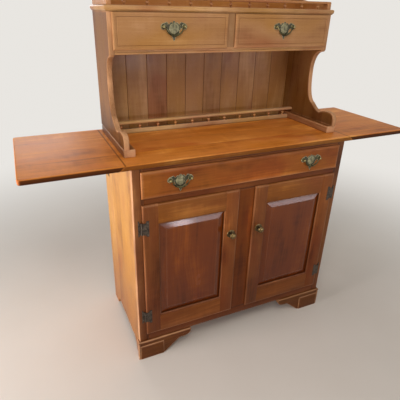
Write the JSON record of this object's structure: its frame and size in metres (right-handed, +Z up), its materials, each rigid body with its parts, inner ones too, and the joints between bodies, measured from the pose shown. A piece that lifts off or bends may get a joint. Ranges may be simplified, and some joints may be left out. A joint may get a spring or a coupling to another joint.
{
  "type": "drop-leaf hutch cabinet",
  "caption": "Maple hutch cabinet with hinged drop leaves: panelled base cupboard under a wide drawer, and an open hutch with small drawers, scrolled sides and spindle galleries.",
  "frame": {"origin": "on the floor under the centre of the whole piece, leaves raised", "axes": "+X to the right along the front, +Y from the front to the back, +Z up"},
  "size_m": [1.566, 0.478, 1.4],
  "materials": {
    "maple_wood": "satin",
    "counter_wood": "satin",
    "secondary_wood": "matte",
    "aged_brass": "satin",
    "bronze_hardware": "satin"
  },
  "bodies": {
    "case": {"base_side_left": "maple_wood", "base_side_right": "maple_wood", "base_back": "secondary_wood", "base_floor": "secondary_wood", "base_shelf": "secondary_wood", "face_stile_left": "maple_wood", "face_stile_right": "maple_wood", "face_stile_centre": "maple_wood", "face_rails": "maple_wood", "foot_front_left": "maple_wood", "foot_front_right": "maple_wood", "drawer_runners": "secondary_wood", "door_catches": "bronze_hardware", "counter_top": "counter_wood", "leaf_hinge_plates": "bronze_hardware", "brace_wall_plates": "bronze_hardware", "frame_hinge_wings": "bronze_hardware", "door_hinge_pins": "bronze_hardware", "hutch_side_left": "maple_wood", "hutch_side_right": "maple_wood", "hutch_shoes": "maple_wood", "hutch_back": "maple_wood", "hutch_top": "maple_wood", "hutch_drawer_floor": "maple_wood", "hutch_bottom_rail": "maple_wood", "hutch_partition": "maple_wood", "plate_rail_strips": "maple_wood", "plate_rail_spindles": "maple_wood", "top_gallery_rail": "maple_wood", "top_gallery_spindles": "maple_wood", "top_gallery_boards": "maple_wood"},
    "leaf_left": {"leaf_left": "counter_wood", "leaf_left_fittings": "bronze_hardware"},
    "leaf_right": {"leaf_right": "counter_wood", "leaf_right_fittings": "bronze_hardware"},
    "brace_lower_left": {"brace_lower_left": "bronze_hardware"},
    "brace_lower_right": {"brace_lower_right": "bronze_hardware"},
    "brace_upper_left": {"brace_upper_left": "bronze_hardware"},
    "brace_upper_right": {"brace_upper_right": "bronze_hardware"},
    "base_drawer": {"base_drawer_front": "maple_wood", "base_drawer_box": "secondary_wood", "base_drawer_pulls": "aged_brass"},
    "base_left_bail": {"base_left_bail": "aged_brass"},
    "base_right_bail": {"base_right_bail": "aged_brass"},
    "hutch_left_bail": {"hutch_left_bail": "aged_brass"},
    "hutch_right_bail": {"hutch_right_bail": "aged_brass"},
    "door_left": {"door_left_frame": "maple_wood", "door_left_panel": "maple_wood", "door_left_knob": "aged_brass", "door_left_hinge_wings": "bronze_hardware"},
    "hutch_drawer_left": {"hutch_left_drawer_front": "maple_wood", "hutch_left_drawer_box": "secondary_wood", "hutch_left_pull": "aged_brass"},
    "door_right": {"door_right_frame": "maple_wood", "door_right_panel": "maple_wood", "door_right_knob": "aged_brass", "door_right_hinge_wings": "bronze_hardware"},
    "hutch_drawer_right": {"hutch_right_drawer_front": "maple_wood", "hutch_right_drawer_box": "secondary_wood", "hutch_right_pull": "aged_brass"}
  },
  "joints": [
    {"name": "leaf_left_hinge", "type": "hinge", "parent": "case", "child": "leaf_left", "pos_m": [-0.48, 0, 0.8327], "axis": [0, 1, 0], "range_deg": [-90, 0]},
    {"name": "brace_lower_left_pivot", "type": "hinge", "parent": "case", "child": "brace_lower_left", "pos_m": [-0.455, 0, 0.6977], "axis": [0, 1, 0], "range_deg": [0, 46.99]},
    {"name": "brace_upper_left_pivot", "type": "hinge", "parent": "leaf_left", "child": "brace_upper_left", "pos_m": [-0.615, 0, 0.8247], "axis": [0, 1, 0], "range_deg": [-33.87, 0]},
    {"name": "leaf_right_hinge", "type": "hinge", "parent": "case", "child": "leaf_right", "pos_m": [0.48, 0, 0.8327], "axis": [0, -1, 0], "range_deg": [-90, 0]},
    {"name": "brace_lower_right_pivot", "type": "hinge", "parent": "case", "child": "brace_lower_right", "pos_m": [0.455, 0, 0.6977], "axis": [0, -1, 0], "range_deg": [0, 46.99]},
    {"name": "brace_upper_right_pivot", "type": "hinge", "parent": "leaf_right", "child": "brace_upper_right", "pos_m": [0.615, 0, 0.8247], "axis": [0, -1, 0], "range_deg": [-33.87, 0]},
    {"name": "base_drawer_slide", "type": "slide", "parent": "case", "child": "base_drawer", "axis": [0, -1, 0], "range_m": [0, 0.29]},
    {"name": "door_left_hinge", "type": "hinge", "parent": "case", "child": "door_left", "pos_m": [-0.4195, -0.211, 0.415], "axis": [0, 0, -1], "range_deg": [0, 170]},
    {"name": "hutch_drawer_left_slide", "type": "slide", "parent": "case", "child": "hutch_drawer_left", "axis": [0, -1, 0], "range_m": [0, 0.13]},
    {"name": "door_right_hinge", "type": "hinge", "parent": "case", "child": "door_right", "pos_m": [0.4195, -0.211, 0.415], "axis": [0, 0, 1], "range_deg": [0, 170]},
    {"name": "hutch_drawer_right_slide", "type": "slide", "parent": "case", "child": "hutch_drawer_right", "axis": [0, -1, 0], "range_m": [0, 0.13]},
    {"name": "base_left_bail_pivot", "type": "hinge", "parent": "base_drawer", "child": "base_left_bail", "pos_m": [-0.279, -0.221, 0.785], "axis": [-1, 0, 0], "range_deg": [0, 85]},
    {"name": "hutch_left_bail_pivot", "type": "hinge", "parent": "hutch_drawer_left", "child": "hutch_left_bail", "pos_m": [-0.2235, -0.025, 1.252], "axis": [-1, 0, 0], "range_deg": [0, 85]},
    {"name": "base_right_bail_pivot", "type": "hinge", "parent": "base_drawer", "child": "base_right_bail", "pos_m": [0.279, -0.221, 0.785], "axis": [-1, 0, 0], "range_deg": [0, 85]},
    {"name": "hutch_right_bail_pivot", "type": "hinge", "parent": "hutch_drawer_right", "child": "hutch_right_bail", "pos_m": [0.2235, -0.025, 1.252], "axis": [-1, 0, 0], "range_deg": [0, 85]}
  ],
  "couplings": [
    {"joint": "brace_lower_left_pivot", "follows": "leaf_left_hinge", "ratio": -0.51984},
    {"joint": "brace_upper_left_pivot", "follows": "leaf_left_hinge", "ratio": 0.37408},
    {"joint": "brace_lower_right_pivot", "follows": "leaf_right_hinge", "ratio": -0.51984},
    {"joint": "brace_upper_right_pivot", "follows": "leaf_right_hinge", "ratio": 0.37408}
  ]
}
